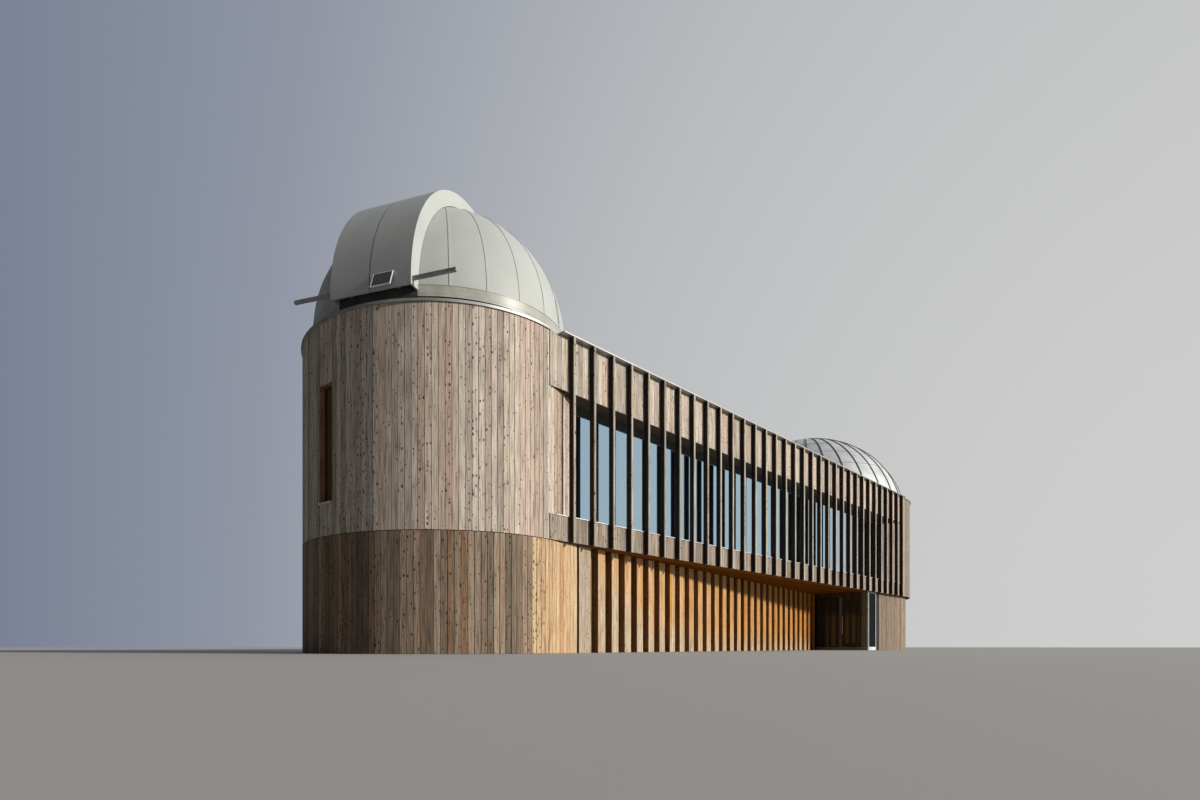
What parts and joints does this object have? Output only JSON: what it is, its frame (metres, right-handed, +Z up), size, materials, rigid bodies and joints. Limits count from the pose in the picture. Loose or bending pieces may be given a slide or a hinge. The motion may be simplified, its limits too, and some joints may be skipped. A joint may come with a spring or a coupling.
{
  "type": "planetarium building",
  "caption": "Timber-clad two-storey hall between two round drums, one under a turning observatory dome with a parting hood, one under a fixed planetarium dome.",
  "frame": {"origin": "on the observatory drum's axis, at ground level", "axes": "+X along the front from the observatory drum to the planetarium drum, +Y to the back, +Z up"},
  "size_m": [35.8121, 10.3741, 11.427],
  "materials": {
    "weathered_larch": "weathered",
    "fresh_larch": "oiled",
    "dark_timber": "stained",
    "concrete": "rough",
    "roofing": "matte",
    "window_metal": "satin",
    "bright_aluminium": "satin",
    "glazing": "clear",
    "coping_metal": "satin",
    "dome_metal": "satin",
    "dome_white": "satin",
    "dark_steel": "satin"
  },
  "bodies": {
    "building": {"ground_slab": "concrete", "ceiling_boards": "dark_timber", "upper_floor_slab": "concrete", "roof_slab": "roofing", "near_drum_lower_wall_1": "weathered_larch", "near_drum_lower_wall_2": "weathered_larch", "near_drum_lower_wall_3": "weathered_larch", "far_drum_lower_wall_1": "weathered_larch", "far_drum_lower_wall_2": "weathered_larch", "far_drum_lower_wall_3": "weathered_larch", "near_drum_upper_wall_1": "weathered_larch", "near_drum_upper_wall_2": "weathered_larch", "near_drum_upper_wall_3": "weathered_larch", "far_drum_upper_wall_1": "weathered_larch", "far_drum_upper_wall_2": "weathered_larch", "far_drum_upper_wall_3": "weathered_larch", "slot_window_frame": "dark_timber", "slot_window_glass": "glazing", "batten_wall": "fresh_larch", "lower_front_wall": "weathered_larch", "lower_rear_wall": "weathered_larch", "porch_corner_post": "dark_timber", "porch_mid_post": "dark_timber", "porch_head_beam": "dark_timber", "porch_window_frame": "bright_aluminium", "porch_window_glass": "glazing", "sidelight_frame": "bright_aluminium", "sidelight_glass": "glazing", "front_lintel_band": "dark_timber", "front_lintel_band_end": "dark_timber", "front_sill_band": "dark_timber", "front_fin_screen": "weathered_larch", "front_window_frame": "window_metal", "front_window_glass": "glazing", "front_roof_edge": "coping_metal", "rear_lintel_band": "dark_timber", "rear_lintel_band_end": "dark_timber", "rear_sill_band": "dark_timber", "rear_fin_screen": "weathered_larch", "rear_window_frame": "window_metal", "rear_window_glass": "glazing", "rear_roof_edge": "coping_metal", "near_drum_coping": "coping_metal", "far_drum_coping": "coping_metal", "planetarium_dome": "dome_white", "dome_base_ring": "dark_steel"},
    "dome": {"dome_skirt": "dome_metal", "dome_shell": "dome_metal", "dome_front_rail": "dark_steel"},
    "right_shutter": {"shutter_right": "dome_metal", "solar_panel": "dark_steel"},
    "left_shutter": {"shutter_left": "dome_metal"},
    "porch_door": {"porch_door_frame": "dark_timber", "porch_door_glass": "glazing"}
  },
  "joints": [
    {"name": "dome_rotation", "type": "hinge", "parent": "building", "child": "dome", "pos_m": [0, 0, 7.942], "axis": [0, 0, 1], "continuous": true},
    {"name": "shutter_right_slide", "type": "slide", "parent": "dome", "child": "right_shutter", "axis": [0.4163, -0.9092, 0], "range_m": [0, 1]},
    {"name": "shutter_left_slide", "type": "slide", "parent": "dome", "child": "left_shutter", "axis": [-0.4163, 0.9092, 0], "range_m": [0, 1]},
    {"name": "porch_door_hinge", "type": "hinge", "parent": "building", "child": "porch_door", "pos_m": [22.084, -2.985, 1.3], "axis": [0, 0, 1], "range_deg": [0, 90]}
  ]
}
